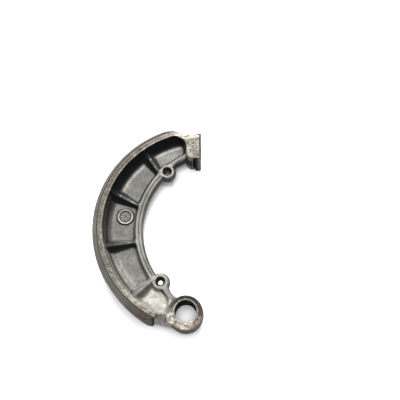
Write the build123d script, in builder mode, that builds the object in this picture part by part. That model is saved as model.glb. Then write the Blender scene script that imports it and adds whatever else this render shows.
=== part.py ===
"""Brake shoe for a 200 mm drum, lying on its side: the cast shoe, its worn lining and its cam plate."""
import os
from math import atan2, cos, degrees, radians, sin, sqrt

from build123d import *

# The origin is on the pivot bore's axis, in the plane of the shoe's lower side face.
# +Z runs along the bore, and +X is square to the face that the cam pushes.

# ---- widths along the bore, mm ------------------------------------------------------------------
shoe_width = 30.0  # rim, pivot eye and cam end, over both side faces
web_thickness = 5.0
flange_width = 14.0  # inner flange and spring bosses, narrower than the rim

# ---- rim: an arc about the shoe's centre --------------------------------------------------------
shoe_centre_x = 13.9
shoe_centre_y = 80.3
rim_radius = 95.4  # the seat of the lining
rim_thickness = 4.9
rim_draft = 0.9  # the rim is thicker by this much down at the web
rim_start = 105.2  # at the cam end
rim_end = 244.6  # at the pivot end

# ---- lining: worn to the drum's circle, whose centre now lies off the shoe's centre --------------
lining_thickness = 4.6  # on average; the shift of the worn circle makes it thin above and thick below
wear_shift = 2.1
wear_direction = -80.0
lining_start = 105.5
lining_end = 243.95
lining_side_gap = 0.3  # the lining stands back from each side face
shoulder_gap = 1.4  # open slot between the lining and the shoulder of the casting
lead_in_angle = 110.5  # the worn slope at the cam end begins here, about the drum's centre
lead_in_length = 9.0
lead_in_drop = 2.0
tail_angle_upper = 238.6  # the worn slope at the pivot end is longer and deeper on the upper side
tail_angle_lower = 240.4
tail_drop_upper = 4.1
tail_drop_lower = 1.6

# ---- inner flange: a flatter arc, about a centre of its own --------------------------------------
flange_offset_x = 21.4  # from the shoe's centre to the flange's centre
flange_offset_y = -2.8
flange_inset = 17.9  # the flange's radius is smaller than the rim's by this much
flange_thickness = 4.7
flange_draft = 1.9  # the inner wall stands out by this much at the parting line
lip_width = 2.0  # the edge of the flange is stepped down
lip_drop = 0.8

# ---- ribs, each given by the angles of its two ends about the shoe's centre ----------------------
rib_outer_angles = (126.9, 159.3, 193.5, 227.9)
rib_inner_angles = (127.7, 161.8, 195.0, 229.6)
rib_root = 13.5  # the ribs run in to a circle this much smaller than the flange's
rib_foot_outer = 16.0  # width at the web, by the rim
rib_foot_inner = 4.4  # width at the web, by the flange
crest_overlap = 1.0  # how far the pocket cutters pass the middle of a crest at their mouths
rib_rise = 3.6  # the crest climbs this much from the flange to the rim
pocket_corner = 3.0
pocket_draft = 1.5
pocket_fillet = 2.0

# ---- pivot eye -----------------------------------------------------------------------------------
bore_radius = 9.5
bore_chamfer = 0.8
eye_radius = 15.3
eye_offset = 1.3  # the cast eye sits this far below the bore's axis
eye_draft = 0.8
shelf_drop = 1.6  # the unmachined shelf beside the shoulder lies lower
shelf_step = 3.0  # from the eye's side to the shelf's right-hand edge
shelf_outset = 0.2  # from the rim's inner corner to the shelf's inner edge, where the last pocket begins
shoulder_height = 3.0  # the shoulder behind the lining stands out past the rim
side_draft = 1.6
heel_hollow = 0.5  # the heel's side, from the eye to the shoulder, is hollow by this much

# ---- spring bosses and their holes ---------------------------------------------------------------
upper_boss_angle = 134.0  # about the flange's centre
upper_boss_outset = 0.25  # from the flange's inner edge to the boss's centre
upper_boss_radius = 6.5
lower_boss_angle = 220.5
lower_boss_outset = -0.6
lower_boss_radius = 7.1
neck_run = 8.75  # the neck's side towards the last pocket begins this far from the lower boss's centre
neck_rise = 14.25  # and this far above the shelf's edge
neck_waist_x = -12.3  # the hollow of the neck between the lower boss and the eye
neck_waist_y = 17.3
spring_mouth_radius = 4.4
spring_seat_draft = 10.0
spring_seat_depth = 5.2
spring_hole_radius = 2.3

# ---- cam end -------------------------------------------------------------------------------------
block_left = -0.6
block_drop = 7.3  # the block's top is this far below the top of the rim's circle
block_length = 24.6
block_corner = 5.5
pocket_end_x = -1.0  # the block's pocket side
land_drop = 6.2  # from the block's top to the land's corner
land_end_angle = 106.1  # the land beside the block slants back to the rim, and meets it here
dip_left = 4.5  # the top edge dips from the rim to the block, from this far left of the block
dip_right = 3.0
dip_rise = 1.2
hollow_x = 5.5  # the hollow under the block passes this far to the left of it, and below it
hollow_y = 0.8
web_tuck_x = 5.0  # pieces of the outline that run into the block, the boss, the land and the rim
web_tuck_y = 3.0
boss_tuck_x = 5.0
boss_tuck_y = 2.0
land_tuck = 2.0
rim_tuck = 6.0
land_end_radius = 7.0
land_side = 3.0  # left straight between the flange and the rounding of the land's corner
cam_face_x = 13.65
plate_thickness = 1.3
plate_side_gap = 0.8  # the plate is narrower than the casting on each side
plate_upper_lip = 4.2
plate_bend = 1.2
plate_hook = 3.2  # the plate's end turned up into the slot
plate_hook_gap = 0.5  # between the hook's edges and the ends of the slot
slot_width = 3.3
slot_depth = 4.6
slot_land = 2.9  # metal between the slot and the plate
slot_floor = 3.0
slot_roof = 1.0

# ---- date clock in the third pocket --------------------------------------------------------------
clock_angle = 172.8
clock_distance = 71.8
clock_radius = 6.9
clock_wall = 1.0
clock_height = 0.6

# ---- worked out from the sizes above -------------------------------------------------------------
mid_height = shoe_width / 2
web_top = mid_height + web_thickness / 2
flange_top = mid_height + flange_width / 2
rib_top = flange_top + rib_rise
rim_inner = rim_radius - rim_thickness
worn_radius = rim_radius + lining_thickness
flange_radius = rim_radius - flange_inset
flange_centre_x = shoe_centre_x + flange_offset_x
flange_centre_y = shoe_centre_y + flange_offset_y
shoulder_radius = rim_radius + shoulder_height
shelf_edge_y = shoe_centre_y + rim_inner * sin(radians(rim_end)) - shelf_outset
rib_inner_radius = flange_radius - rib_root
wall_stock = 0.5  # left inside the rim for the pockets to cut away
first_rib_angle = rib_outer_angles[0] - 3
last_rib_angle = rib_inner_angles[-1] + 3
shoulder_face = lining_end + degrees(shoulder_gap / rim_radius)
shelf_edge_x = -eye_radius - shelf_step
block_high = shoe_centre_y + rim_radius - block_drop
block_low = block_high - block_length
land_corner_y = block_high - land_drop
flange_outside = flange_radius + flange_thickness
flange_at_land = flange_centre_y + sqrt(flange_outside**2 - (flange_centre_x - pocket_end_x) ** 2)
land_corner_radius = land_corner_y - flange_at_land - land_side
block_right = cam_face_x - plate_thickness
drum_x = shoe_centre_x + wear_shift * cos(radians(wear_direction))
drum_y = shoe_centre_y + wear_shift * sin(radians(wear_direction))


def about(radius, angle, centre_x=shoe_centre_x, centre_y=shoe_centre_y):
    """A point at a radius and an angle about the shoe's centre, or about another centre."""
    return Vector(centre_x + radius * cos(radians(angle)), centre_y + radius * sin(radians(angle)))


def about_flange(radius, angle):
    return about(radius, angle, flange_centre_x, flange_centre_y)


upper_boss = about_flange(flange_radius + upper_boss_outset, upper_boss_angle)
lower_boss = about_flange(flange_radius + lower_boss_outset, lower_boss_angle)
neck_corner_x = lower_boss.X + neck_run
neck_corner_y = shelf_edge_y + neck_rise


def section_plane(angle):
    """A plane through the shoe's centre line, with its X outward and its Y along the bore."""
    centre = Vector(shoe_centre_x, shoe_centre_y, 0)
    outward = Vector(cos(radians(angle)), sin(radians(angle)), 0)
    return Plane(origin=centre, x_dir=outward, z_dir=outward.cross(Vector(0, 0, 1)))


def rib_edge(
    number, side, half_outer, half_inner, beyond=2.5 * rim_thickness, reach=3.5 * flange_thickness
):
    """One side line of a rib, from beyond the rim to within the flange; side is -1 or +1."""
    outer = about(rim_inner, rib_outer_angles[number])
    inner = about(rib_inner_radius, rib_inner_angles[number])
    along = (outer - inner).normalized()
    across = Vector(0, 0, 1).cross(along) * side
    outer_edge = outer + across * half_outer
    inner_edge = inner + across * half_inner
    slope = (outer_edge - inner_edge).normalized()
    return outer_edge + slope * beyond, inner_edge - slope * reach


def pocket_outline(corners, outer_radius, inner_radius, height, wide_corners=()):
    """One level of a pocket: straight sides, the rim's arc outside and the flange's arc inside.

    A wide corner is a place and the radius of the rounding there; the other corners are alike.
    """
    with BuildSketch(Plane.XY.offset(height)) as outline:
        with BuildLine():
            Polyline(*corners, close=True)
        make_face()
        with Locations((shoe_centre_x, shoe_centre_y)):
            Circle(outer_radius, mode=Mode.INTERSECT)
        if inner_radius > 0:
            with Locations((flange_centre_x, flange_centre_y)):
                Circle(inner_radius, mode=Mode.SUBTRACT)
        tight = outline.vertices()
        for place, _ in wide_corners:
            tight = tight.filter_by(lambda spot: (Vector(spot.X, spot.Y) - place).length > pocket_corner)
        fillet(tight, pocket_corner)
        for place, radius in wide_corners:
            fillet(outline.vertices().sort_by_distance(place)[0], radius)
    return outline.sketch


def first_pocket_corners(half_outer, half_inner, inset):
    """The pocket at the cam end, and where its land meets the rim.

    Its corners follow one rib, the side of the cam block, and the slanted land to beyond the rim.
    """
    outer, inner = rib_edge(0, -1, half_outer, half_inner)
    land_corner = Vector(pocket_end_x, land_corner_y) + Vector(-inset, -inset)
    land_end = about(rim_inner, land_end_angle) + Vector(-inset, -inset)
    beyond = land_end + (land_end - land_corner).normalized() * 2.5 * rim_thickness
    return (outer, inner, Vector(pocket_end_x - inset, inner.Y), land_corner, beyond), land_end


def last_pocket_corners(half_outer, half_inner, inset):
    """The pocket at the pivot end: one rib, the shelf, the pivot eye and the neck to the spring boss."""
    outer, inner = rib_edge(3, 1, half_outer, half_inner, beyond=rim_thickness, reach=0.0)
    shelf_left = Vector(outer.X - rim_thickness, shelf_edge_y + inset)
    shelf_right = Vector(-eye_radius - inset, shelf_edge_y + inset)
    neck_low = Vector(neck_corner_x - inset, neck_corner_y - inset / 2)
    neck_high = about(lower_boss_radius + inset, -74, lower_boss.X, lower_boss.Y)
    return outer, shelf_left, shelf_right, neck_low, neck_high, inner


def pocket(floor_outline, mouth_outline):
    """A drafted, round-cornered pocket cutter from the web up past the side face."""
    with BuildPart() as cutter:
        loft([floor_outline, mouth_outline], ruled=True)
        mouth = cutter.faces().sort_by(Axis.Z)[-1]
        extrude(mouth, amount=shoe_width)
        floor = cutter.faces().sort_by(Axis.Z)[0]
        fillet(floor.edges(), pocket_fillet)
    return cutter.part


# ---- the casting ---------------------------------------------------------------------------------
pocket_mouth = rib_top + 1.5
lip_inside = flange_radius - 3 * lip_width
lip_start = upper_boss_angle + degrees((upper_boss_radius + 0.6) / flange_radius)
lip_end = lower_boss_angle - degrees((lower_boss_radius + 0.6) / flange_radius)
foot_outer = rib_foot_outer / 2
foot_inner = rib_foot_inner / 2
flange_draft_angle = degrees(atan2(flange_draft, flange_width / 2))
eye_draft_angle = degrees(atan2(eye_draft, mid_height))
side_draft_angle = degrees(atan2(side_draft, mid_height))

floor_outlines = []
mouth_outlines = []
for level, outlines in ((web_top, floor_outlines), (pocket_mouth, mouth_outlines)):
    at_floor = level == web_top
    half_outer = foot_outer if at_floor else -crest_overlap
    half_inner = foot_inner if at_floor else -crest_overlap
    outer_radius = rim_inner - rim_draft if at_floor else rim_inner
    inner_radius = flange_outside + (pocket_draft if at_floor else -pocket_draft)
    inset = pocket_draft if at_floor else 0.0
    corners, land_end = first_pocket_corners(half_outer, half_inner, inset)
    wide_corners = ((corners[3], land_corner_radius), (land_end, land_end_radius))
    outlines.append(pocket_outline(corners, outer_radius, inner_radius, level, wide_corners))
    for number in range(3):
        first_side = rib_edge(number, 1, half_outer, half_inner)
        second_side = rib_edge(number + 1, -1, half_outer, half_inner)
        corners = (first_side[0], second_side[0], second_side[1], first_side[1])
        outlines.append(pocket_outline(corners, outer_radius, inner_radius, level))
    corners = last_pocket_corners(half_outer, half_inner, inset)
    outlines.append(pocket_outline(corners, outer_radius, 0, level))
pockets = [pocket(floor, mouth) for floor, mouth in zip(floor_outlines, mouth_outlines)]

with BuildSketch(Plane.XY.offset(mid_height)) as web_plan:
    inner_radius = flange_radius - flange_draft
    seat = rim_radius - rim_thickness / 4
    hollow_start = Vector(block_left + web_tuck_x, block_low + web_tuck_y)
    hollow_end = upper_boss + Vector(boss_tuck_x, boss_tuck_y)
    neck_start = about(lower_boss_radius + flange_draft / 2, -20, lower_boss.X, lower_boss.Y)
    neck_end = about(eye_radius, 112, 0, -eye_offset)
    with BuildLine():
        under_land = Vector(block_left + land_tuck, land_corner_y + land_tuck)
        Polyline(about(seat, rim_start + 1), under_land, hollow_start)
        ThreePointArc(hollow_start, Vector(block_left - hollow_x, block_low - hollow_y), hollow_end)
        Line(hollow_end, upper_boss)
        Line(upper_boss, about_flange(inner_radius, upper_boss_angle))
        ThreePointArc(
            about_flange(inner_radius, upper_boss_angle),
            about_flange(inner_radius, (upper_boss_angle + lower_boss_angle) / 2),
            about_flange(inner_radius, lower_boss_angle),
        )
        Line(about_flange(inner_radius, lower_boss_angle), lower_boss)
        Line(lower_boss, neck_start)
        ThreePointArc(neck_start, (neck_waist_x, neck_waist_y), neck_end)
        Polyline(neck_end, (-eye_radius / 2, -eye_radius / 4), about(seat, rim_end - 0.5))
        ThreePointArc(about(seat, rim_end - 0.5), about(seat, 170), about(seat, rim_start + 1))
    make_face()

with BuildSketch(Plane.XY.offset(mid_height)) as pivot_end_plan:
    shoulder = about(shoulder_radius + side_draft / 2, shoulder_face - degrees(side_draft / rim_radius))
    heel = about(eye_radius, 241, 0, -eye_offset)
    with BuildLine():
        Polyline(shoulder, about(rim_inner - rim_tuck, rim_end - 4), (-eye_radius / 2, eye_radius / 2))
        Line((-eye_radius / 2, eye_radius / 2), (0, -eye_offset))
        Line((0, -eye_offset), heel)
        ThreePointArc(heel, (heel + shoulder) / 2 + Vector(heel_hollow / 2, heel_hollow), shoulder)
    make_face()

with BuildSketch() as land_plan:
    with BuildLine():
        Polyline(
            about(rim_radius - dip_rise / 3, rim_start + 0.3),
            (block_left - dip_left, block_high + dip_rise),
            (block_left - dip_left / 2, block_high + dip_rise / 4),
            (block_left + dip_right, block_high),
            (block_right, block_high),
            (block_right, block_low),
            (block_left, block_low),
            (block_left, land_corner_y - rim_tuck),
            about(rim_inner, rim_start + 9),
            close=True,
        )
    make_face()
    fillet(land_plan.vertices().sort_by_distance((block_left, block_low))[0], block_corner)

rim_plane = section_plane(rim_start)
rib_plane = section_plane(first_rib_angle)
shoe_axis = Axis((shoe_centre_x, shoe_centre_y, 0), (0, 0, 1))
spring_bosses = (
    (upper_boss.X, upper_boss.Y, upper_boss_radius),
    (lower_boss.X, lower_boss.Y, lower_boss_radius),
)

with BuildPart() as shoe_casting:
    # the web, the inner flange and the two spring bosses, drafted both ways from the parting line
    extrude(web_plan.sketch, amount=flange_width / 2, taper=flange_draft_angle)
    # the pivot end: an eye, and the neck that joins it to the shoulder behind the lining
    with BuildSketch(Plane.XY.offset(mid_height)):
        with Locations((0, -eye_offset)):
            Circle(eye_radius + eye_draft)
    extrude(amount=mid_height, taper=eye_draft_angle)
    extrude(pivot_end_plan.sketch, amount=mid_height - shelf_drop, taper=side_draft_angle)
    with BuildSketch(Plane.XY.offset(mid_height)) as machined_neck:
        add(pivot_end_plan.sketch)
        with Locations((shelf_edge_x, -eye_radius)):
            Rectangle(4 * eye_radius, 6 * eye_radius, align=(Align.MAX, Align.CENTER), mode=Mode.SUBTRACT)
    extrude(amount=mid_height, taper=side_draft_angle)
    mirror(about=Plane.XY.offset(mid_height))
    # the shoulder's face, square to the rim, leaves a narrow gap to the lining
    with BuildSketch():
        with BuildLine():
            Polyline(
                about(rim_radius - 1, shoulder_face),
                about(2 * rim_radius, shoulder_face),
                about(2 * rim_radius, shoulder_face - 20),
                about(rim_radius - 1, shoulder_face - 4),
                close=True,
            )
        make_face()
    extrude(amount=shoe_width, mode=Mode.SUBTRACT)
    # the rim, turned about the shoe's own centre, and thicker inside where the pockets shape it
    with BuildSketch(rim_plane):
        with Locations((rim_inner - wall_stock, 0)):
            Rectangle(rim_thickness + wall_stock, shoe_width, align=(Align.MIN, Align.MIN))
        with Locations((rim_inner - rim_draft - 2 * wall_stock, mid_height)):
            Rectangle(rim_thickness, 2 * (rib_top - mid_height) - 1, align=(Align.MIN, Align.CENTER))
    revolve(axis=shoe_axis, revolution_arc=rim_end - rim_start)
    # the sloping tops of the ribs, one cone on each side; the pockets leave only the ribs of it
    with BuildSketch(rib_plane):
        with BuildLine():
            Polyline(
                (rib_inner_radius, shoe_width - flange_top),
                (rim_inner + rim_draft, shoe_width - rib_top),
                (rim_inner + rim_draft, rib_top),
                (rib_inner_radius, flange_top),
                close=True,
            )
        make_face()
    revolve(axis=shoe_axis, revolution_arc=last_rib_angle - first_rib_angle)
    # the cam end: a block for the cam to push, joined to the rim by a slanted land
    extrude(land_plan.sketch, amount=shoe_width)
    for cutter in pockets:
        add(cutter, mode=Mode.SUBTRACT)
        mirror(cutter, about=Plane.XY.offset(mid_height), mode=Mode.SUBTRACT)
    # the spring bosses stand out into the pockets
    for x, y, radius in spring_bosses:
        with BuildSketch(Plane.XY.offset(mid_height)):
            with Locations((x, y)):
                Circle(radius + flange_draft)
        extrude(amount=flange_width / 2, taper=flange_draft_angle)
        with BuildSketch(Plane.XY.offset(mid_height)):
            with Locations((x, y)):
                Circle(radius + flange_draft)
        extrude(amount=-flange_width / 2, taper=flange_draft_angle)
    # the edge of the flange is stepped down between the two bosses
    with BuildSketch(Plane.XY.offset(flange_top - lip_drop)):
        with BuildLine():
            Line(about_flange(flange_radius + lip_width, lip_start), about_flange(lip_inside, lip_start))
            ThreePointArc(
                about_flange(lip_inside, lip_start),
                about_flange(lip_inside, (lip_start + lip_end) / 2),
                about_flange(lip_inside, lip_end),
            )
            Line(about_flange(lip_inside, lip_end), about_flange(flange_radius + lip_width, lip_end))
            ThreePointArc(
                about_flange(flange_radius + lip_width, lip_end),
                about_flange(flange_radius + lip_width, (lip_start + lip_end) / 2),
                about_flange(flange_radius + lip_width, lip_start),
            )
        make_face()
    lip_cut = extrude(amount=2 * lip_drop, mode=Mode.SUBTRACT)
    mirror(lip_cut, about=Plane.XY.offset(mid_height), mode=Mode.SUBTRACT)
    # the spring holes: a drafted seat from each side and a small hole between them
    for x, y, radius in spring_bosses:
        with BuildSketch(Plane.XY):
            with Locations((x, y)):
                Circle(spring_hole_radius)
        extrude(amount=shoe_width, mode=Mode.SUBTRACT)
        upper_side = Plane.XY.offset(flange_top)
        lower_side = Plane((0, 0, shoe_width - flange_top), z_dir=(0, 0, -1))
        for seat_plane in (upper_side, lower_side):
            with BuildSketch(seat_plane):
                seat_centre = seat_plane.to_local_coords(Vector(x, y, seat_plane.origin.Z))
                with Locations((seat_centre.X, seat_centre.Y)):
                    Circle(spring_mouth_radius)
            extrude(amount=-spring_seat_depth, taper=spring_seat_draft, mode=Mode.SUBTRACT)
    # the bore, and the machined ring round it that the casting stands back from
    with BuildSketch(Plane.XY):
        Circle(bore_radius)
    extrude(amount=shoe_width, mode=Mode.SUBTRACT)
    # the slot that the cam plate hooks into
    with BuildSketch(Plane.XY.offset(slot_floor)):
        with Locations((block_right - slot_land, block_low)):
            Rectangle(slot_width, 2 * slot_depth, align=(Align.MAX, Align.CENTER))
    extrude(amount=shoe_width - slot_floor - slot_roof, mode=Mode.SUBTRACT)
    # a date clock's plain ring, on the floor of the third pocket
    with BuildSketch(Plane.XY.offset(web_top)):
        with Locations(about(clock_distance, clock_angle)):
            Circle(clock_radius)
            Circle(clock_radius - clock_wall, mode=Mode.SUBTRACT)
    extrude(amount=clock_height)
    round_edges = shoe_casting.edges().filter_by(GeomType.CIRCLE)
    bore_edges = round_edges.filter_by(lambda edge: abs(edge.radius - bore_radius) < 0.01)
    chamfer(bore_edges, bore_chamfer)

# ---- the lining, bonded to the rim ---------------------------------------------------------------
lining_mid = (lining_start + lining_end) / 2
with BuildPart() as friction_lining:
    with BuildSketch(Plane.XY.offset(lining_side_gap)):
        with BuildLine():
            Polyline(
                about(0.8 * rim_radius, lining_start),
                about(2 * rim_radius, lining_start),
                about(2 * rim_radius, lining_mid),
                about(2 * rim_radius, lining_end),
                about(0.8 * rim_radius, lining_end),
                about(0.6 * rim_radius, lining_mid),
                close=True,
            )
        make_face()
        with Locations((drum_x, drum_y)):
            Circle(worn_radius, mode=Mode.INTERSECT)
        with Locations((shoe_centre_x, shoe_centre_y)):
            Circle(rim_radius, mode=Mode.SUBTRACT)
    extrude(amount=shoe_width - 2 * lining_side_gap)
    # worn slope at the cam end
    slope_span = degrees(lead_in_length / worn_radius)
    slope_start = about(worn_radius, lead_in_angle, drum_x, drum_y)
    slope_end = about(worn_radius - lead_in_drop, lead_in_angle - slope_span, drum_x, drum_y)
    slope = (slope_end - slope_start).normalized()
    square = Vector(0, 0, 1).cross(slope)
    with BuildSketch():
        with BuildLine():
            Polyline(
                slope_start,
                slope_end + slope * 2 * lining_thickness,
                slope_end + slope * 2 * lining_thickness + square * 3 * lining_thickness,
                slope_start + square * 3 * lining_thickness,
                close=True,
            )
        make_face()
    extrude(amount=shoe_width, mode=Mode.SUBTRACT)
    # worn slope at the pivot end
    for level, angle, drop in (
        (0, tail_angle_lower, tail_drop_lower),
        (shoe_width, tail_angle_upper, tail_drop_upper),
    ):
        tail_start = about(worn_radius, angle, drum_x, drum_y)
        tail_end = about(worn_radius - drop, lining_end, drum_x, drum_y)
        tail = (tail_end - tail_start).normalized()
        outward = Vector(0, 0, -1).cross(tail)
        with BuildSketch(Plane.XY.offset(level)):
            with BuildLine():
                Polyline(
                    tail_start,
                    tail_end + tail * 2 * lining_thickness,
                    tail_end + tail * 2 * lining_thickness + outward * 3 * lining_thickness,
                    tail_start + outward * 3 * lining_thickness,
                    close=True,
                )
            make_face()
    loft(ruled=True, mode=Mode.SUBTRACT)

# ---- the steel plate on the cam face, its ends turned over the block -----------------------------
with BuildPart() as cam_plate:
    with BuildSketch(Plane.XY.offset(plate_side_gap)):
        with BuildLine():
            Polyline(
                (block_right - plate_upper_lip + plate_thickness, block_high),
                (block_right, block_high),
                (block_right, block_low),
                (block_right - slot_land - plate_thickness, block_low),
                (block_right - slot_land - plate_thickness, block_low - plate_thickness),
                (cam_face_x, block_low - plate_thickness),
                (cam_face_x, block_high + plate_thickness),
                (block_right - plate_upper_lip + plate_thickness, block_high + plate_thickness),
                close=True,
            )
        make_face()
    extrude(amount=shoe_width - 2 * plate_side_gap)
    outer_bends = cam_plate.edges().filter_by(Axis.Z).group_by(Axis.X)[-1]
    fillet(outer_bends, plate_bend)
    with BuildSketch(Plane.XY.offset(slot_floor + plate_hook_gap)):
        with Locations((block_right - slot_land, block_low - plate_thickness / 2)):
            Rectangle(plate_thickness, plate_hook + plate_thickness / 2, align=(Align.MAX, Align.MIN))
    extrude(amount=shoe_width - slot_floor - slot_roof - 2 * plate_hook_gap)

os.makedirs("parts", exist_ok=True)
shoe_casting.part.label = "shoe_casting"
export_step(shoe_casting.part, "parts/shoe_casting.step")
friction_lining.part.label = "friction_lining"
export_step(friction_lining.part, "parts/friction_lining.step")
cam_plate.part.label = "cam_plate"
export_step(cam_plate.part, "parts/cam_plate.step")
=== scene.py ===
"""The looks of a worn cast brake shoe: its rough casting, its lining and its cam plate."""

import math

import bmesh
import bpy
import numpy as np
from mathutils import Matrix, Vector, noise


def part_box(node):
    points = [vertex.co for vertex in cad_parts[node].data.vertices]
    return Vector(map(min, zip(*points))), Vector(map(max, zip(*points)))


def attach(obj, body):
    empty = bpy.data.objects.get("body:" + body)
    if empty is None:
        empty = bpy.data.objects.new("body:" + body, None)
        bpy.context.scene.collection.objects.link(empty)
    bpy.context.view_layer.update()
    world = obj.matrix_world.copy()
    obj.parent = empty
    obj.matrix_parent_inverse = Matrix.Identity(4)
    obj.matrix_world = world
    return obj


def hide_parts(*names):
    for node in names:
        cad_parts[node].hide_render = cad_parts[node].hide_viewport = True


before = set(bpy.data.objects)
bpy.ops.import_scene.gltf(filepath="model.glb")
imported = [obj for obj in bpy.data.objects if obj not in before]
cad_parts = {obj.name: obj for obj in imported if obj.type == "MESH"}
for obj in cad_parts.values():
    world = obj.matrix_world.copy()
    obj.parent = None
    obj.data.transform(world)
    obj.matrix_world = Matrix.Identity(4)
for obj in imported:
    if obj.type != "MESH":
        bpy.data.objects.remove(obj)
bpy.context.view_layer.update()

# ---- sizes of the shoe, mm, from the bore's axis and the lower side face -------------------------
MM = 0.001
SHOE_CENTRE = (13.9, 80.3)
FLANGE_CENTRE = (35.3, 77.5)
EYE_CENTRE = (0.0, -1.3)
BORE_CENTRE = (0.0, 0.0)
CLOCK = (-57.2, 89.5)
UPPER_BOSS = (-18.71, 133.43)
LOWER_BOSS = (-23.18, 27.56)
SHOE_WIDTH = 30.0
MIDDLE = SHOE_WIDTH / 2
WEB_TOP = 17.5
FLANGE_TOP = 22.0
SHELF_TOP = 28.0
RIM_RADIUS = 95.4
RIM_INNER = 90.5
FLANGE_RADIUS = 77.5
FLANGE_THICKNESS = 4.7
BORE_RADIUS = 9.5
CLOCK_RADIUS = 6.9
SPRING_HOLE_RADIUS = 4.6
UPPER_BOSS_FACE = 7.6
LOWER_BOSS_FACE = 8.2
CLOCK_RING_TOP = 20.0
EYE_FADE = (20.0, 14.5)  # the eye's finish fades in from the first radius to the second
BLOCK_FOOT = 140.0
BLOCK_BACK = -2.0
SWEEP = 8.0
SWEEP_STARTS = (101, 106)  # degrees about the shoe's centre
SWEEP_ENDS = (243, 236)
LAST_RIB = 229  # degrees: the pocket beyond it has less dirt and painted shade in its creases
LINING_END_SHADE = (244.4, 243.4)  # degrees: painted black beyond the first, as shade in the gap at the lining's end; full colour within the second

# ---- what scene.py adds to the solids, mm --------------------------------------------------------
CASTING_VOXEL = 0.52
LINING_VOXEL = 0.5
CASTING_GRAIN = ((0.05, 2.2, 3.1), (0.035, 0.9, 7.7))  # depth, size, seed
LINING_GRAIN = ((0.05, 1.8, 1.3), (0.05, 6.0, 5.2))
TICK_SIZES = {"Middle radius": 3.1, "Length": 3.8, "Width": 0.85, "Rise": 0.9}
TICK_COUNT = 10
FLOOR_DROP = 0.05  # just clear of the casting's grain

# ---- studio, in metres and watts -----------------------------------------------------------------
FLOOR_REACH = 8.0
SHOE_SPOT = (-0.02, 0.07, 0)
WINDOW = {"spot": (-0.05, 1.35, 1.5), "size": (1.1, 0.8), "power": 62}
CEILING = {"spot": (0.0, 0.05, 1.7), "size": (0.9, 0.9), "power": 30}
SKY_STRENGTH = 0.4
CAMERA_SPOT = (0.01261, -0.07579, 0.5548)
CAMERA_TILT = 18.70
LENS = 54

# ---- finishes: how light each place is, from 0 to 1 ----------------------------------------------
STUDIO = 0.32  # a finish's colour as a share of how it looks under the studio's lights
NEUTRAL = (1.03, 1.01, 0.91)
TAN = (1.17, 1.0, 0.7)
LINING_HUE = (1.05, 1.02, 0.91)
PLAIN_TONE = 0.30
# painted highlight along the ribs' crests
CREST_HIGHLIGHT_TONE = 0.36
# painted highlight streak along the pocket floors
STREAK_HIGHLIGHT_TONE = 0.75
RIM_EDGE_TONE = 1.0
LAND_TONE = 0.36
LAND_LIFT = 0.25
EYE_SIDE_TONE = 0.19
BORE_EDGE_TONE = 0.8
SHELF_TONES = (0.11, 0.23)
BLOCK_TONES = (0.05, 0.39)
BLOCK_ROOT_TONES = (0.32, 0.39)
# painted shade in the hollow under the cam block
UNDER_BLOCK_SHADE_TONE = 0.085
UPPER_BOSS_TONE = 0.5
LOWER_BOSS_TONE = 0.4
# painted shade in the spring holes
SPRING_HOLE_SHADE_TONE = 0.08
# the clock ring painted lit on its side away from the light, and shaded on its side towards it
CLOCK_RING_LIT_AND_SHADED = (1.0, 0.45)
CLOCK_FLOOR_TONE = 0.16
CLOCK_TICK_TONE = 0.62

# ---- finishes that change along a part: values by the angle about its centre ---------------------
RIM_ANGLES = (105, 115, 130, 145, 160, 175, 190, 205, 220, 235, 246)
RIM_TONES = (0.34, 0.31, 0.17, 0.12, 0.22, 0.165, 0.25, 0.23, 0.31, 0.52, 0.45)
RIM_BROWNS = (0.4, 0.5, 1.0, 0.9, 0.5, 0.4, 0.4, 0.4, 0.3, 0.5, 0.5)
RIM_EDGES = (0.8, 0.95, 0.9, 0.6, 0.4, 0.4, 0.3, 0.1, 0.4, 0.3, 0.2)
# how much darker than its floor a pocket's walls are painted, as shade or light by which way they
# face the light; below 0 they are painted lighter
POCKET_WALL_SHADING = (0.5, 0.5, 0.5, 0.5, 0.1, -0.3, -2.1, -2.1, -0.5, -0.5)
POCKET_ANGLES = (100, 124, 129, 157, 162, 191, 196, 225, 231, 250)
POCKET_TONES = (0.27, 0.25, 0.20, 0.22, 0.22, 0.20, 0.22, 0.24, 0.66, 0.66)
# painted shadow beside the rim, and painted shade on the walls that face away from the light
POCKET_RIM_SHADOW = (1.0, 1.0, 1.0, 1.0, 0.65, 0.2, 0.1, 0.0, 0.0, 0.0)
POCKET_SHADED_WALLS = (1.0, 1.0, 1.0, 1.0, 1.0, 0.9, 1.0, 0.5, 0.6, 0.0)
# how strong the painted highlight streak along each floor is
POCKET_STREAK_HIGHLIGHTS = (0.9, 0.8, 0.7, 0.3, 0.15, 0.1, 0.3, 0.5, 0.3, 0.3)
FLANGE_ANGLES = (134, 150, 165, 180, 195, 210, 222)
FLANGE_TONES = (0.34, 0.32, 0.24, 0.40, 0.34, 0.38, 0.38)
# the flange's steep sides are painted darker than its top, as shade
FLANGE_SIDE_SHADE_TONES = (0.14, 0.14, 0.15, 0.30, 0.14, 0.17, 0.18)
# painted shade under the flange
FLANGE_UNDERSIDE_SHADE = (0.15, 0.15, 0.15, 0.0, 0.25, 0.3, 0.3)
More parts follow.
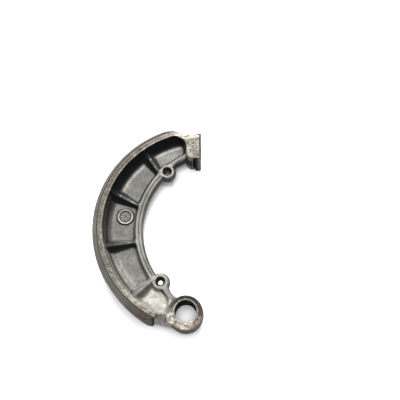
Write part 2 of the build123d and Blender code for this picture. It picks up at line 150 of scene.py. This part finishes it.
# how much lighter than the flange its lip is painted, as a highlight; the lip's sides are painted
# darker as shade
LIP_ANGLES = (150, 195, 205)
LIP_HIGHLIGHTS = (0.45, 0.45, -0.2)
EYE_ANGLES = (0, 45, 90, 135, 180, 225, 270, 315, 360)
EYE_TONES = (0.045, 0.012, 0.02, 0.04, 0.32, 0.48, 0.82, 0.10, 0.045)
EYE_BROWNS = (0.8, 0.4, 0.5, 0.5, 0.3, 0.3, 0.5, 0.7, 0.8)
EYE_SOOT = (0, 0.25, 0.25, 0.15, 0, 0, 0, 0, 0)
LINING_ANGLES = (105, 125, 145, 165, 185, 205, 225, 238, 244)
LINING_TONES = (0.21, 0.21, 0.20, 0.21, 0.19, 0.14, 0.14, 0.045, 0.045)
LINING_FACE_TONES = (0.22, 0.22, 0.21, 0.20, 0.24, 0.09, 0.045, 0.04, 0.04)


# ---- small helpers -------------------------------------------------------------------------------
def smooth_step(low, high, value):
    t = np.clip((value - low) / (high - low), 0.0, 1.0)
    return t * t * (3 - 2 * t)


def mesh_points(mesh):
    points = np.empty(len(mesh.vertices) * 3)
    mesh.vertices.foreach_get("co", points)
    return points.reshape(-1, 3)


def mesh_normals(mesh):
    normals = np.empty(len(mesh.vertices) * 3)
    mesh.vertex_normals.foreach_get("vector", normals)
    return normals.reshape(-1, 3)


def put_points(mesh, points):
    mesh.vertices.foreach_set("co", points.ravel())
    mesh.update()


def put_field(mesh, name, values):
    field = mesh.attributes.new(name, "FLOAT", "POINT")
    field.data.foreach_set("value", np.asarray(values, dtype=np.float32))


def painted(field, value, share):
    """A field brought to a value as far as the share says, from 0 to 1."""
    return field + (value - field) * share


def between(pair, share):
    """A value between the two of a pair."""
    return pair[0] + (pair[1] - pair[0]) * share


def noise_at(points, size, seed):
    """Smooth noise, about -1 to 1, at points in mm, with features about size mm wide."""
    k = 1.0 / size
    spots = ((x * k + seed, y * k - seed, z * k + 2 * seed) for x, y, z in points)
    return np.array([noise.noise(spot) for spot in spots])


def roughened(points, normals, grain, share):
    """Points pushed out and in by a grain, as far as the share says."""
    depth = sum(deep * noise_at(points, size, seed) for deep, size, seed in grain)
    return points + normals * (depth * share)[:, None]


def mesh_edges(mesh):
    edges = np.empty(len(mesh.edges) * 2, dtype=np.int64)
    mesh.edges.foreach_get("vertices", edges)
    return edges.reshape(-1, 2)


def relax(points, edges, rounds):
    """Points pulled to the mean of their neighbours, a number of times."""
    count = np.bincount(edges.ravel(), minlength=len(points))[:, None]
    a, b = edges[:, 0], edges[:, 1]
    for _ in range(rounds):
        total = np.zeros_like(points)
        for axis in range(points.shape[1]):
            total[:, axis] = np.bincount(a, points[b, axis], len(points))
            total[:, axis] += np.bincount(b, points[a, axis], len(points))
        points = total / np.maximum(count, 1)
    return points


def hollows(points, normals, edges, rounds):
    """How far the surface is hollow (above 0) or raised (below 0), in mm, over a few mm around."""
    return ((relax(points, edges, rounds) - points) * normals).sum(axis=1)


def polar(points, centre):
    """Radius and angle in degrees about an upright axis."""
    x, y = points[:, 0] - centre[0], points[:, 1] - centre[1]
    return np.hypot(x, y), np.degrees(np.arctan2(y, x)) % 360


def reach_from(points, centre):
    return polar(points, centre)[0]


def skin_of(node, name, voxel):
    """A fine, soft-edged copy of a solid, as a rough casting or a worn block has."""
    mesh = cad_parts[node].data.copy()
    mesh.materials.clear()
    rough = bpy.data.objects.new(name, mesh)
    bpy.context.collection.objects.link(rough)
    remesh = rough.modifiers.new("even", "REMESH")
    remesh.mode = "VOXEL"
    remesh.voxel_size = voxel * MM
    remesh.use_smooth_shade = True
    bpy.context.view_layer.update()
    evaluated = rough.evaluated_get(bpy.context.evaluated_depsgraph_get())
    fine = bpy.data.meshes.new_from_object(evaluated)
    rough.modifiers.clear()
    rough.data = fine
    points = mesh_points(fine)
    put_points(fine, relax(points, mesh_edges(fine), 2))
    return rough


def dress(piece, finish):
    piece.data.materials.clear()
    piece.data.materials.append(finish)


def cut_level(piece, name, level, keep_above):
    """A closed half of a piece, above or below a level, to keep each half's mesh light."""
    mesh = piece.data.copy()
    shape = bmesh.new()
    shape.from_mesh(mesh)
    everything = shape.verts[:] + shape.edges[:] + shape.faces[:]
    cut = bmesh.ops.bisect_plane(
        shape,
        geom=everything,
        plane_co=(0, 0, level * MM),
        plane_no=(0, 0, 1),
        dist=1e-7,
        clear_inner=keep_above,
        clear_outer=not keep_above,
    )
    brink = [edge for edge in cut["geom_cut"] if isinstance(edge, bmesh.types.BMEdge)]
    for edge in brink:
        edge.smooth = False
    outward = (0, 0, -1 if keep_above else 1)
    bmesh.ops.triangle_fill(shape, edges=brink, use_beauty=True, normal=outward)
    shape.to_mesh(mesh)
    shape.free()
    half = bpy.data.objects.new(name, mesh)
    bpy.context.collection.objects.link(half)
    return half


# ---- material helpers ----------------------------------------------------------------------------
def new_finish(name):
    finish = bpy.data.materials.new(name)
    finish.use_nodes = True
    return finish, finish.node_tree, finish.node_tree.nodes["Principled BSDF"]


def field_node(tree, name):
    node = tree.nodes.new("ShaderNodeAttribute")
    node.attribute_name = name
    return node.outputs["Fac"]


def place_node(tree):
    return tree.nodes.new("ShaderNodeTexCoord").outputs["Object"]


def grain_node(tree, place, size, detail=4.0, rough=0.55, lean=0.0):
    """Noise with features about size mm wide."""
    node = tree.nodes.new("ShaderNodeTexNoise")
    node.inputs["Scale"].default_value = 1000.0 / size
    node.inputs["Detail"].default_value = detail
    node.inputs["Roughness"].default_value = rough
    node.inputs["Distortion"].default_value = lean
    tree.links.new(place, node.inputs["Vector"])
    return node.outputs["Fac"]


def span_node(tree, value, low, high, to_low=0.0, to_high=1.0):
    """A value carried from one range to another, and held inside it."""
    node = tree.nodes.new("ShaderNodeMapRange")
    node.inputs["From Min"].default_value = low
    node.inputs["From Max"].default_value = high
    node.inputs["To Min"].default_value = to_low
    node.inputs["To Max"].default_value = to_high
    tree.links.new(value, node.inputs["Value"])
    return node.outputs["Result"]


def math_node(tree, kind, first, second):
    """Two values added or multiplied, and held between 0 and 1."""
    node = tree.nodes.new("ShaderNodeMath")
    node.operation = kind
    node.use_clamp = True
    for socket, value in zip(node.inputs, (first, second)):
        if isinstance(value, (int, float)):
            socket.default_value = value
        else:
            tree.links.new(value, socket)
    return node.outputs[0]


def blend_node(tree, share, first, second, kind="MIX"):
    """Two colours blended by a share; a colour is a triple, dimmed for the studio, or a node's."""
    node = tree.nodes.new("ShaderNodeMix")
    node.data_type = "RGBA"
    node.blend_type = kind
    sockets = {s.identifier: s for s in node.inputs}
    if isinstance(share, (int, float)):
        sockets["Factor_Float"].default_value = share
    else:
        tree.links.new(share, sockets["Factor_Float"])
    for key, value in (("A_Color", first), ("B_Color", second)):
        if isinstance(value, tuple):
            sockets[key].default_value = (*(STUDIO * part for part in value), 1.0)
        else:
            tree.links.new(value, sockets[key])
    return next(s for s in node.outputs if s.identifier == "Result_Color")


def looks(red, green, blue):
    """A colour from how it looks, as sRGB values of 0 to 255."""
    return tuple(((part / 255 + 0.055) / 1.055) ** 2.4 for part in (red, green, blue))


def overlay_nodes(tree, base, layers):
    """Colours laid over a base one by one, each by its field and as far as its greatest share."""
    for field, most, colour in layers:
        share = span_node(tree, field_node(tree, field), 0, 1, 0, most)
        base = blend_node(tree, share, base, colour)
    return base


def bump_node(tree, height, depth, under=None):
    """Bumps about depth mm high."""
    node = tree.nodes.new("ShaderNodeBump")
    node.inputs["Strength"].default_value = 1.0
    node.inputs["Distance"].default_value = depth * MM
    tree.links.new(height, node.inputs["Height"])
    if under is not None:
        tree.links.new(under, node.inputs["Normal"])
    return node.outputs["Normal"]


# ---- casting: shape ------------------------------------------------------------------------------
casting = skin_of("shoe_casting", "casting_skin", CASTING_VOXEL)
mesh = casting.data
edges = mesh_edges(mesh)
points = mesh_points(mesh) / MM
radius, angle = polar(points, SHOE_CENTRE)
flange_reach, flange_angle = polar(points, FLANGE_CENTRE)

# the pocket floors sweep up to the rim in a wide hollow, on both sides of the shoe
in_sweep = (radius < RIM_INNER + 0.6) & (flange_reach > FLANGE_RADIUS + 6)
over = np.clip(radius - (RIM_INNER - 0.9 - SWEEP), 0, SWEEP)
rise = SWEEP - np.sqrt(SWEEP**2 - over**2)
rise *= smooth_step(*SWEEP_STARTS, angle) * smooth_step(*SWEEP_ENDS, angle)
side = np.sign(points[:, 2] - MIDDLE)
above_web = np.abs(points[:, 2] - MIDDLE) - (WEB_TOP - MIDDLE)
swept = in_sweep & (above_web > -0.4) & (above_web < rise)
points[:, 2] = np.where(swept, MIDDLE + side * (WEB_TOP - MIDDLE + rise), points[:, 2])
settle = in_sweep * smooth_step(RIM_INNER - SWEEP - 2, RIM_INNER - SWEEP, radius)
settle *= smooth_step(11.5, 10, above_web)
points += (relax(points, edges, 8) - points) * settle[:, None]
put_points(mesh, points * MM)

# ---- casting: where each point lies and which way it faces ---------------------------------------
normals = mesh_normals(mesh)
x, y, z = points.T
height = np.abs(z - MIDDLE) + MIDDLE  # both sides of the shoe are finished alike
flat = np.abs(normals[:, 2])
lean = np.hypot(normals[:, 0], normals[:, 1])
steep = smooth_step(0.15, 0.6, lean)
small = hollows(points, normals, edges, 6)
broad = hollows(points, normals, edges, 20)
machined = smooth_step(SHOE_WIDTH - 0.5, SHOE_WIDTH - 0.2, height) * smooth_step(0.8, 0.95, flat)

# the pockets, their ribs' crests and a painted highlight streak along each floor
in_pocket = (
    (radius < RIM_INNER + 0.8)
    & (height > WEB_TOP - 0.6)
    & (flange_reach > FLANGE_RADIUS + FLANGE_THICKNESS)
)
on_crest = in_pocket * smooth_step(WEB_TOP + 1.5, WEB_TOP + 3.0, height)
on_crest *= smooth_step(0.3, 0.7, flat)
streak_highlight = in_pocket * np.exp(-(((radius - RIM_INNER + 8.8) / 1.5) ** 2))
streak_highlight *= np.interp(angle, POCKET_ANGLES, POCKET_STREAK_HIGHLIGHTS)
streak_highlight *= smooth_step(WEB_TOP + 1.6, WEB_TOP + 0.9, height)

# the inner flange, its raised lip, painted lighter as a highlight, and the line between the two,
# painted darker as shade in the step
on_flange = flange_reach < FLANGE_RADIUS + FLANGE_THICKNESS + 0.4
on_flange &= (x < -6) & (y > 30) & (y < 150)
lip_shade_line = np.exp(-(((flange_reach - FLANGE_RADIUS - 2) / 0.5) ** 2))
lip_shade_line *= on_flange * (height > FLANGE_TOP - 2)
on_lip = on_flange * smooth_step(FLANGE_RADIUS + 1.9, FLANGE_RADIUS + 1.5, flange_reach)
flange_inside = (flange_reach < FLANGE_RADIUS + 1) & (height < FLANGE_TOP - 1.5) & (x < -6)

# the machined rim and its bright inner edge
on_rim = machined * (radius > 80)
rim_edge = machined * (radius > 85) * smooth_step(1.15, 0.5, radius - RIM_INNER)
rim_edge *= np.interp(angle, RIM_ANGLES, RIM_EDGES)

# the eye, its bore, and the land and the shelf between it and the lining
eye_reach, eye_angle = polar(points, EYE_CENTRE)
bore_reach = reach_from(points, BORE_CENTRE)
near_eye = machined * smooth_step(*EYE_FADE, eye_reach)
eye_land = machined * ((x < -11) & (y < -2) & (eye_reach < 24))
eye_side = (eye_reach > 14.6) & (height < SHELF_TOP + 1) & (x > -12) & (y < 16)
in_bore = (bore_reach < BORE_RADIUS + 0.4) & (height < SHOE_WIDTH - 0.8)
bore_edge = (bore_reach < BORE_RADIUS + 1.2) & (height > SHOE_WIDTH - 1.1)
on_shelf = (np.abs(height - SHELF_TOP) < 1) & (flat > 0.8) & (y < 0)

# the cam block, its root on the flange and the hollow under it, painted dark as shade
on_block = (x > BLOCK_BACK) & (y > BLOCK_FOOT)
block_root = (x > BLOCK_BACK - 4) & (x < BLOCK_BACK + 5) & (height > FLANGE_TOP - 0.7)
block_root &= (y > BLOCK_FOOT) & (y < BLOCK_FOOT + 12)
under_block = (x > BLOCK_BACK - 10) & (y > BLOCK_FOOT - 6) & (height < FLANGE_TOP - 0.4)
under_block &= flange_reach < FLANGE_RADIUS + 1

# the spring bosses, and their holes, painted dark as shade
upper_boss = reach_from(points, UPPER_BOSS)
lower_boss = reach_from(points, LOWER_BOSS)
boss_face = (height > FLANGE_TOP - 1.5) & (flat > 0.6)
spring_hole = np.minimum(upper_boss, lower_boss) < SPRING_HOLE_RADIUS
spring_hole &= height < FLANGE_TOP - 0.4

# the date clock's ring and the floor about it; the ring is painted lit on the side away from the
# cam, where its inner face turns to the light, and painted shade lies inside it on the cam's side
# and outside it on the far side
clock_reach, clock_angle = polar(points, CLOCK)
towards_light = 0.5 + 0.5 * np.sin(np.radians(clock_angle))
clock_ring = smooth_step(1.0, 0.3, np.abs(clock_reach - CLOCK_RADIUS + 0.5))
clock_ring *= (z > WEB_TOP + 0.3) * (z < CLOCK_RING_TOP)
by_clock = (np.abs(z - WEB_TOP) < 1.2) * (clock_reach < 11) * (1 - clock_ring)

# ---- casting: how light each place is, its metal's tone with painted light and shade -------------
# a pocket's walls are painted darker or lighter than its floor, as shade or light
pocket_wall_shading = 1 - np.interp(angle, POCKET_ANGLES, POCKET_WALL_SHADING) * steep
pocket_tone = np.interp(angle, POCKET_ANGLES, POCKET_TONES) * pocket_wall_shading
flange_tone = np.interp(flange_angle, FLANGE_ANGLES, FLANGE_TONES)
# the flange's steep sides painted darker, as shade
flange_side_shade = np.interp(flange_angle, FLANGE_ANGLES, FLANGE_SIDE_SHADE_TONES)
flange_tone = painted(flange_side_shade, flange_tone, smooth_step(0.5, 0.9, flat))
lip_highlight_and_shade = np.where(flat > 0.7, np.interp(flange_angle, LIP_ANGLES, LIP_HIGHLIGHTS), -0.35)

tone = np.full(len(points), PLAIN_TONE)
tone = painted(tone, pocket_tone, in_pocket)
# the ribs' upper flanks are painted darker, and a painted highlight runs along each crest
tone *= 1 - 0.8 * on_crest * smooth_step(250, 215, angle)
tone = painted(tone, CREST_HIGHLIGHT_TONE, on_crest * smooth_step(0.39, 0.46, -broad))
tone = painted(tone, flange_tone, on_flange)
# painted shade along the lip's step, and painted highlight on the lip
tone *= (1 - 0.7 * lip_shade_line) * (1 + on_lip * lip_highlight_and_shade)
tone = painted(tone, np.interp(angle, RIM_ANGLES, RIM_TONES), on_rim)
tone = painted(tone, LAND_TONE, machined * (eye_reach < 40))
tone = painted(tone, np.interp(eye_angle, EYE_ANGLES, EYE_TONES), near_eye)
tone += LAND_LIFT * eye_land
for value, share in (
    (between(BLOCK_TONES, machined), on_block),
    (between(BLOCK_ROOT_TONES, machined), block_root),
    (UNDER_BLOCK_SHADE_TONE, under_block),
    (EYE_SIDE_TONE, eye_side),
    (UPPER_BOSS_TONE, (upper_boss < UPPER_BOSS_FACE) & boss_face),
    (LOWER_BOSS_TONE, (lower_boss < LOWER_BOSS_FACE) & boss_face),
    (SPRING_HOLE_SHADE_TONE, spring_hole),
    (between(SHELF_TONES, smooth_step(-21, -15, x)), on_shelf),
    (BORE_EDGE_TONE, bore_edge),
    (RIM_EDGE_TONE, rim_edge),
    (STREAK_HIGHLIGHT_TONE, streak_highlight),
    (between(CLOCK_RING_LIT_AND_SHADED, towards_light), clock_ring),
    (CLOCK_FLOOR_TONE, by_clock * (clock_reach < 5.6) > 0),
):
    tone = painted(tone, value, share)

# ---- casting: dirt and painted shade in its creases, and edges worn bright with painted highlight ---
crease_dirt_and_shade = smooth_step(0.03, 0.16, small) * np.where(on_flange, 0.55, 1.0)
crease_dirt_and_shade *= (1 - 0.7 * machined) * (1 - 0.6 * in_pocket * (angle > LAST_RIB))
crease_dirt_and_shade *= np.where(block_root, 0.25, 1.0)
edge_wear_and_highlight = smooth_step(0.05, 0.18, -small) * (1 - 0.75 * in_pocket) * (1 - 0.85 * near_eye)

# ---- casting: painted shade, and soot on the eye -------------------------------------------------
# painted shade lies thick on the pocket walls that face away from the light, towards the pivot, and
# thin on the others; a painted shadow lies beside the rim
away_from_light = np.interp(angle, (150, 165), (0.35, -0.1)) * normals[:, 0] - normals[:, 1]
shaded_walls = steep * smooth_step(-0.1, 0.45, away_from_light)
shaded_walls *= np.interp(angle, POCKET_ANGLES, POCKET_SHADED_WALLS)
rim_shadow = smooth_step(RIM_INNER - 8.6, RIM_INNER - 4.5, radius)
rim_shadow *= np.interp(angle, POCKET_ANGLES, POCKET_RIM_SHADOW)
shade_and_soot = np.maximum(shaded_walls, rim_shadow) * in_pocket
shade_and_soot *= smooth_step(SHOE_WIDTH - 0.2, SHOE_WIDTH - 1.4, height)
by_land = (x > BLOCK_BACK - 7) & (y < BLOCK_FOOT + 17) & (angle < 112)
shade_and_soot *= np.where(by_land, smooth_step(24, 26.5, height), 1.0)
ledges = 0.5 + 0.5 * np.sin(2 * np.pi * (height + 0.3 * (x + 12)) / 3.4)
clock_shadow_outside = smooth_step(9.1, 8.2, clock_reach) * smooth_step(6.7, 7.2, clock_reach)
clock_shade_inside = smooth_step(6.4, 6.0, clock_reach) * smooth_step(4.6, 5.2, clock_reach)
clock_shade = by_clock * np.maximum((1 - 0.8 * towards_light) * clock_shadow_outside, (0.45 + 0.55 * towards_light) * clock_shade_inside)
for share in (
    # painted shade inside the bore
    1.0 * in_bore,
    near_eye * (1 - bore_edge) * np.interp(eye_angle, EYE_ANGLES, EYE_SOOT),
    # painted shade on the eye's side that faces away from the light
    0.35 * eye_side * smooth_step(0.3, -0.2, normals[:, 1]),
    # painted shade under the cam block, over its cast ledges
    under_block * (0.3 + 0.5 * ledges) * smooth_step(0.3, 0.8, lean),
    # painted shade under the flange
    flange_inside * np.interp(flange_angle, FLANGE_ANGLES, FLANGE_UNDERSIDE_SHADE),
    # painted shade and shadow rings about the date clock
    0.98 * clock_shade,
):
    shade_and_soot = np.maximum(shade_and_soot, share)

# ---- casting: brown stain on the machined faces --------------------------------------------------
brown = on_rim * (y > -12) * np.interp(angle, RIM_ANGLES, RIM_BROWNS)
for share in (
    near_eye * np.interp(eye_angle, EYE_ANGLES, EYE_BROWNS),
    0.7 * in_bore,
    0.3 * machined,
):
    brown = np.maximum(brown, share)
brown *= 1 - 0.8 * np.maximum(rim_edge, bore_edge)

put_points(mesh, roughened(points, normals, CASTING_GRAIN, 1 - 0.85 * machined) * MM)
for name, values in (
    ("tone", tone),
    ("crease_dirt_and_shade", crease_dirt_and_shade),
    ("edge_wear_and_highlight", edge_wear_and_highlight),
    ("machined", machined),
    ("brown", brown),
    ("shade_and_soot", shade_and_soot),
):
    put_field(mesh, name, values)

upper_half = cut_level(casting, "casting_upper", MIDDLE, True)
lower_half = cut_level(casting, "casting_lower", MIDDLE, False)
bpy.data.objects.remove(casting)

# ---- casting: finish -----------------------------------------------------------------------------
cast_finish, tree, shader = new_finish("cast_aluminium")
place = place_node(tree)
stain = field_node(tree, "brown")
fine_grain = grain_node(tree, place, 1.9, detail=6.0, rough=0.7)
patches = grain_node(tree, place, 9.0, detail=3.0, rough=0.5)
blotches = grain_node(tree, place, 3.2, rough=0.6, lean=0.4)
metal = blend_node(tree, stain, NEUTRAL, TAN)
for shade in (
    field_node(tree, "tone"),
    span_node(tree, patches, 0.35, 0.65, 0.8, 1.2),
    span_node(tree, fine_grain, 0.36, 0.64, 0.72, 1.28),
):
    metal = blend_node(tree, 1.0, metal, shade, "MULTIPLY")

# machined faces are mottled, with rust in patches, dark specks and painted glints of highlight
mottling = span_node(tree, blotches, 0.38, 0.62, 0.5, 1.5)
mottle = blend_node(tree, 1.0, metal, mottling, "MULTIPLY")
rust_shade = span_node(tree, fine_grain, 0.42, 0.6)
rust = blend_node(tree, rust_shade, looks(54, 40, 31), looks(136, 84, 50))
rust_grain = grain_node(tree, place, 5.0, detail=5.0, rough=0.65)
rust_share = math_node(tree, "MULTIPLY", span_node(tree, rust_grain, 0.48, 0.55, 0.0, 0.85), stain)
mottle = blend_node(tree, rust_share, mottle, rust)
speck_grain = grain_node(tree, place, 2.7, rough=0.7)
specks = math_node(tree, "ADD", speck_grain, math_node(tree, "MULTIPLY", stain, 0.04))
mottle = blend_node(tree, span_node(tree, specks, 0.56, 0.61, 0.0, 0.88), mottle, looks(44, 38, 33))
glint_highlight_grain = grain_node(tree, place, 2.4, detail=3.0, rough=0.7, lean=1.0)
glint_highlights = span_node(tree, glint_highlight_grain, 0.6, 0.66, 0.0, 0.8)
glint_highlights = math_node(tree, "MULTIPLY", glint_highlights, span_node(tree, stain, 0.3, 1.0, 1.0, 0.3))
mottle = blend_node(tree, glint_highlights, mottle, looks(236, 230, 214))
metal = blend_node(tree, field_node(tree, "machined"), metal, mottle)
# edges worn bright with painted highlight, dirt and painted shade in creases, and painted shade
# with soot
overlays = (
    ("edge_wear_and_highlight", 0.5, looks(200, 196, 184)),
    ("crease_dirt_and_shade", 0.75, looks(34, 34, 34)),
    ("shade_and_soot", 0.96, looks(20, 24, 30)),
)
metal = overlay_nodes(tree, metal, overlays)
tree.links.new(metal, shader.inputs["Base Color"])
shader.inputs["Metallic"].default_value = 0.3
shader.inputs["Specular IOR Level"].default_value = 0.25
rough = span_node(tree, blotches, 0.3, 0.7, 0.4, 0.6)
rough = math_node(tree, "ADD", rough, field_node(tree, "shade_and_soot"))
tree.links.new(rough, shader.inputs["Roughness"])
bumps = bump_node(tree, fine_grain, 0.12)
bumps = bump_node(tree, grain_node(tree, place, 0.45, detail=2.0), 0.05, bumps)
tree.links.new(bumps, shader.inputs["Normal"])

for half in (upper_half, lower_half):
    dress(half, cast_finish)
    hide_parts("shoe_casting")
    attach(half, "root")


# ---- date clock: cast ticks set round its middle -------------------------------------------------
def clock_tick_tree(finish):
    """Rounded ticks, set out like the hours of a dial."""
    group = bpy.data.node_groups.new("clock_ticks", "GeometryNodeTree")
    group.interface.new_socket("Geometry", in_out="OUTPUT", socket_type="NodeSocketGeometry")
    inputs = {}
    for title in ("Ticks", *TICK_SIZES):
        kind = "NodeSocketInt" if title == "Ticks" else "NodeSocketFloat"
        socket = group.interface.new_socket(title, in_out="INPUT", socket_type=kind)
        inputs[title] = socket.identifier
    start = group.nodes.new("NodeGroupInput")
    end = group.nodes.new("NodeGroupOutput")
    dial = group.nodes.new("GeometryNodeMeshCircle")
    group.links.new(start.outputs["Ticks"], dial.inputs["Vertices"])
    group.links.new(start.outputs["Middle radius"], dial.inputs["Radius"])
    tick = group.nodes.new("GeometryNodeMeshUVSphere")
    tick.inputs["Segments"].default_value = 16
    tick.inputs["Rings"].default_value = 10
    tick.inputs["Radius"].default_value = 0.5
    spot = group.nodes.new("GeometryNodeInputPosition")
    turn = group.nodes.new("FunctionNodeAlignEulerToVector")
    turn.axis = "X"
    group.links.new(spot.outputs["Position"], turn.inputs["Vector"])
    size = group.nodes.new("ShaderNodeCombineXYZ")
    for axis, title in (("X", "Length"), ("Y", "Width"), ("Z", "Rise")):
        group.links.new(start.outputs[title], size.inputs[axis])
    place_ticks = group.nodes.new("GeometryNodeInstanceOnPoints")
    group.links.new(dial.outputs["Mesh"], place_ticks.inputs["Points"])
    group.links.new(tick.outputs["Mesh"], place_ticks.inputs["Instance"])
    group.links.new(turn.outputs["Rotation"], place_ticks.inputs["Rotation"])
    group.links.new(size.outputs["Vector"], place_ticks.inputs["Scale"])
    solid = group.nodes.new("GeometryNodeRealizeInstances")
    group.links.new(place_ticks.outputs["Instances"], solid.inputs["Geometry"])
    coat = group.nodes.new("GeometryNodeSetMaterial")
    coat.inputs["Material"].default_value = finish
    group.links.new(solid.outputs["Geometry"], coat.inputs["Geometry"])
    group.links.new(coat.outputs["Geometry"], end.inputs["Geometry"])
    return group, inputs


clock_ticks = bpy.data.objects.new("clock_ticks", bpy.data.meshes.new("clock_base"))
bpy.context.collection.objects.link(clock_ticks)
tick_group, tick_inputs = clock_tick_tree(cast_finish)
dial = clock_ticks.modifiers.new("dial", "NODES")
dial.node_group = tick_group
dial[tick_inputs["Ticks"]] = TICK_COUNT
for title, size in TICK_SIZES.items():
    dial[tick_inputs[title]] = size * MM
bpy.context.view_layer.update()
ready = clock_ticks.evaluated_get(bpy.context.evaluated_depsgraph_get())
mesh = bpy.data.meshes.new_from_object(ready)
clock_ticks.modifiers.clear()
clock_ticks.data = mesh
put_points(mesh, mesh_points(mesh) + np.array([*CLOCK, WEB_TOP]) * MM)
mesh.polygons.foreach_set("use_smooth", [True] * len(mesh.polygons))
put_field(mesh, "tone", np.full(len(mesh.vertices), CLOCK_TICK_TONE))
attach(clock_ticks, "root")

# ---- lining: worn and speckled -------------------------------------------------------------------
lining = skin_of("friction_lining", "lining_skin", LINING_VOXEL)
mesh = lining.data
points = mesh_points(mesh) / MM
normals = mesh_normals(mesh)
small = hollows(points, normals, mesh_edges(mesh), 6)
radius, angle = polar(points, SHOE_CENTRE)
side_tone = np.interp(angle, LINING_ANGLES, LINING_TONES)
face_tone = np.interp(angle, LINING_ANGLES, LINING_FACE_TONES)
tone = painted(face_tone, side_tone, smooth_step(0.4, 0.8, np.abs(normals[:, 2])))
for name, values in (
    ("tone", tone * smooth_step(*LINING_END_SHADE, angle)),  # the end by the pivot is painted black, as shade in the gap there
    ("edge_wear_and_highlight", smooth_step(0.05, 0.2, -small) * smooth_step(240, 215, angle)),
    ("bond", smooth_step(RIM_RADIUS + 0.8, RIM_RADIUS + 0.3, radius)),
    ("brown", smooth_step(228, 240, angle)),
):
    put_field(mesh, name, values)
put_points(mesh, roughened(points, normals, LINING_GRAIN, 1.0) * MM)

lining_finish, tree, shader = new_finish("friction_material")
place = place_node(tree)
speckle = grain_node(tree, place, 1.3, detail=5.0, rough=0.7)
clouds = grain_node(tree, place, 14.0, detail=3.0)
pits = grain_node(tree, place, 0.8)
body = blend_node(tree, 1.0, LINING_HUE, field_node(tree, "tone"), "MULTIPLY")
body = blend_node(tree, 1.0, body, span_node(tree, clouds, 0.35, 0.65, 0.85, 1.15), "MULTIPLY")
body = blend_node(tree, span_node(tree, speckle, 0.55, 0.72, 0.0, 0.5), body, looks(172, 166, 152))
body = blend_node(tree, span_node(tree, pits, 0.55, 0.7, 0.0, 0.6), body, looks(60, 57, 52))
rust_share = span_node(tree, grain_node(tree, place, 4.0), 0.45, 0.6, 0.0, 0.7)
rust_share = math_node(tree, "MULTIPLY", rust_share, field_node(tree, "brown"))
body = blend_node(tree, rust_share, body, looks(120, 82, 52))
overlays = (
    ("edge_wear_and_highlight", 0.35, looks(166, 162, 150)),
    ("bond", 0.85, looks(40, 36, 32)),
)
body = overlay_nodes(tree, body, overlays)
tree.links.new(body, shader.inputs["Base Color"])
shader.inputs["Metallic"].default_value = 0.0
shader.inputs["Specular IOR Level"].default_value = 0.25
tree.links.new(span_node(tree, speckle, 0.3, 0.7, 0.6, 0.85), shader.inputs["Roughness"])
tree.links.new(bump_node(tree, speckle, 0.12), shader.inputs["Normal"])
dress(lining, lining_finish)
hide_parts("friction_lining")
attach(lining, "root")

# ---- cam plate: browned steel --------------------------------------------------------------------
plate_finish, tree, shader = new_finish("plate_steel")
place = place_node(tree)
stains = span_node(tree, grain_node(tree, place, 2.5, detail=5.0), 0.35, 0.65)
steel = blend_node(tree, stains, looks(46, 37, 38), looks(84, 69, 70))
rust_share = span_node(tree, grain_node(tree, place, 0.8), 0.58, 0.7, 0.0, 0.7)
steel = blend_node(tree, rust_share, steel, looks(96, 64, 48))
# the slot and the lip beside it are painted black and matte, as shade
lip_low, lip_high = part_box("cam_plate")
slot_mouth = lip_high[0] - 3.5 * MM
lip_top = lip_low[1] + 4.0 * MM
across = tree.nodes.new("ShaderNodeSeparateXYZ")
tree.links.new(place, across.inputs["Vector"])
in_slot = span_node(tree, across.outputs["X"], slot_mouth, slot_mouth + 0.4 * MM, 1.0, 0.0)
by_lip = span_node(tree, across.outputs["Y"], lip_top, lip_top + 1.0 * MM, 0.97, 0.0)
slot_shade = math_node(tree, "MULTIPLY", in_slot, by_lip)
steel = blend_node(tree, slot_shade, steel, looks(8, 8, 9))
tree.links.new(steel, shader.inputs["Base Color"])
tree.links.new(span_node(tree, slot_shade, 0.0, 1.0, 0.4, 0.0), shader.inputs["Metallic"])
shader.inputs["Specular IOR Level"].default_value = 0.25
sheen = span_node(tree, grain_node(tree, place, 1.5), 0.3, 0.7, 0.35, 0.6)
tree.links.new(math_node(tree, "ADD", sheen, slot_shade), shader.inputs["Roughness"])
dress(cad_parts["cam_plate"], plate_finish)

# ---- floor, light, camera ------------------------------------------------------------------------
signs = ((-1, -1), (1, -1), (1, 1), (-1, 1))
corners = [(FLOOR_REACH * a, FLOOR_REACH * b, -FLOOR_DROP * MM) for a, b in signs]
floor_mesh = bpy.data.meshes.new("floor")
floor_mesh.from_pydata(corners, [], [(0, 1, 2, 3)])
floor = bpy.data.objects.new("floor", floor_mesh)
bpy.context.collection.objects.link(floor)
floor_paint, tree, shader = new_finish("floor_paint")
shader.inputs["Base Color"].default_value = (0.9, 0.9, 0.9, 1)
shader.inputs["Roughness"].default_value = 0.8
floor_mesh.materials.append(floor_paint)

scene = bpy.context.scene
scene.view_settings.view_transform = "Standard"
world = bpy.data.worlds.new("studio")
scene.world = world
world.use_nodes = True
sky = world.node_tree.nodes["Background"]
sky.inputs["Color"].default_value = (1, 1, 1, 1)
sky.inputs["Strength"].default_value = SKY_STRENGTH


def soft_light(name, spot, size, power):
    """A soft box that looks at the middle of the shoe."""
    lamp = bpy.data.lights.new(name, "AREA")
    lamp.shape = "RECTANGLE"
    lamp.size, lamp.size_y = size
    lamp.energy = power
    box = bpy.data.objects.new(name, lamp)
    box.location = spot
    box.rotation_euler = (Vector(SHOE_SPOT) - Vector(spot)).to_track_quat("-Z", "Y").to_euler()
    bpy.context.collection.objects.link(box)


soft_light("window", **WINDOW)
soft_light("ceiling", **CEILING)

lens = bpy.data.cameras.new("camera")
lens.lens = LENS
lens.sensor_width = 36
camera = bpy.data.objects.new("camera", lens)
camera.location = CAMERA_SPOT
camera.rotation_euler = (math.radians(CAMERA_TILT), 0, 0)
bpy.context.collection.objects.link(camera)
scene.camera = camera
